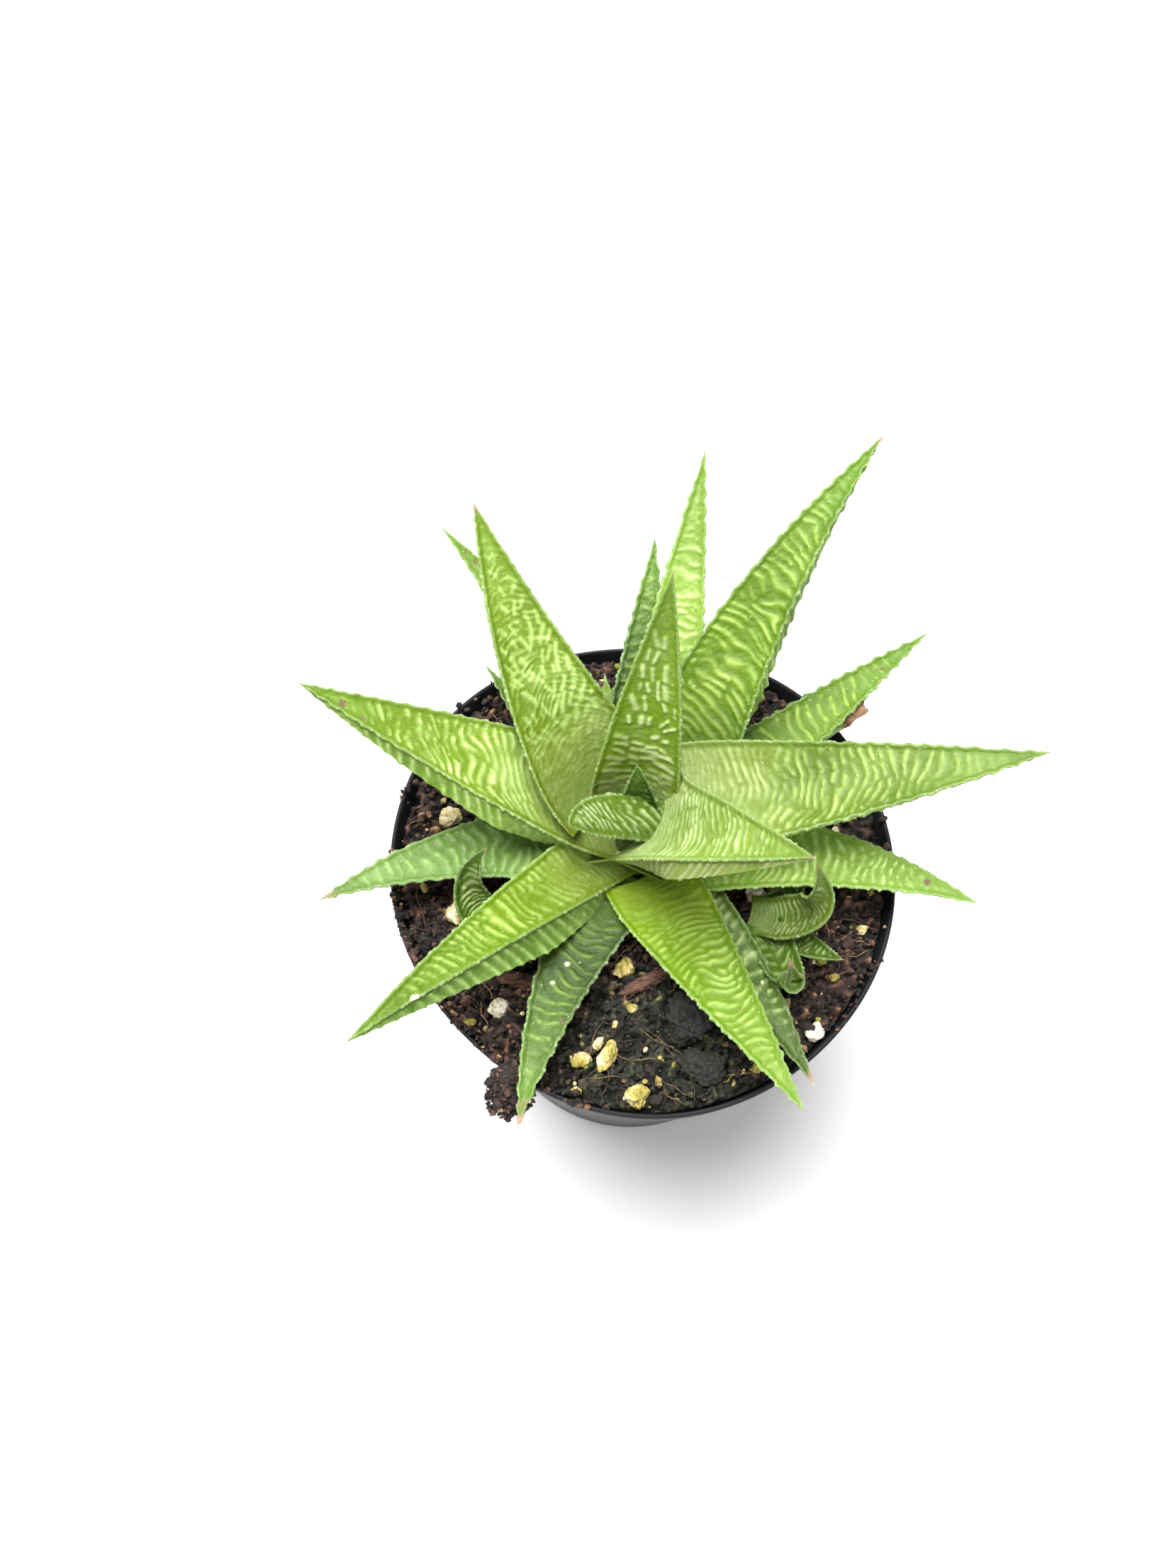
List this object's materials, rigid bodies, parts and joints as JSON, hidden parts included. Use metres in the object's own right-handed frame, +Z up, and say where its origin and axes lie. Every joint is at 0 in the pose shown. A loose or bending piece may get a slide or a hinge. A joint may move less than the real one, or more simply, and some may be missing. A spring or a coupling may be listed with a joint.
{
  "type": "potted haworthia",
  "caption": "Rosette succulent with ridged, keeled, pointed leaves and small offsets, growing in gritty potting mix in a thin round nursery pot.",
  "frame": {"origin": "middle of the pot's base, on the surface that it stands on", "axes": "+Z up, +Y away from the side that the plant is seen from, +X to that viewer's right"},
  "size_m": [0.1388, 0.1302, 0.148],
  "materials": {
    "pot": "satin",
    "potting_mix": "matte",
    "stem": "matte",
    "leaf_bright": "satin",
    "leaf_green": "satin",
    "leaf_dark": "satin",
    "leaf_young": "satin",
    "stalk": "matte",
    "perlite": "matte",
    "bark": "matte",
    "charred_clod": "matte"
  },
  "bodies": {
    "root": {"nursery_pot": "pot", "potting_mix": "potting_mix", "stem_and_roots": "stem", "right_offset_crown": "stem", "left_offset_crown": "stem", "flower_stalk": "stalk", "leaf_heart": "leaf_bright", "leaf_young": "leaf_bright", "leaf_inner_north": "leaf_bright", "leaf_inner_south_east": "leaf_bright", "leaf_north_west": "leaf_bright", "leaf_east": "leaf_bright", "leaf_west": "leaf_bright", "leaf_north_east": "leaf_bright", "leaf_south_west": "leaf_bright", "leaf_south": "leaf_bright", "leaf_low_back": "leaf_bright", "leaf_north": "leaf_green", "leaf_back_north_west": "leaf_green", "leaf_low_east": "leaf_green", "leaf_low_north_east": "leaf_green", "leaf_low_west": "leaf_dark", "leaf_low_south_west": "leaf_dark", "leaf_low_south_east": "leaf_dark", "leaf_low_north": "leaf_dark", "leaf_low_north_west": "leaf_dark", "right_offset_hooked_leaf": "leaf_young", "right_offset_curled_leaf": "leaf_young", "right_offset_low_leaf": "leaf_young", "right_offset_back_leaf": "leaf_young", "left_offset_upright_leaf": "leaf_young", "left_offset_front_leaf": "leaf_young", "left_offset_low_leaf": "leaf_young", "perlite_1": "perlite", "perlite_2": "perlite", "perlite_3": "perlite", "perlite_4": "perlite", "perlite_5": "perlite", "perlite_6": "perlite", "perlite_7": "perlite", "perlite_8": "perlite", "perlite_9": "perlite", "perlite_10": "perlite", "bark_chip_1": "bark", "bark_chip_2": "bark", "clod_1": "charred_clod", "clod_2": "charred_clod", "rim_clump": "potting_mix"}
  },
  "joints": []
}
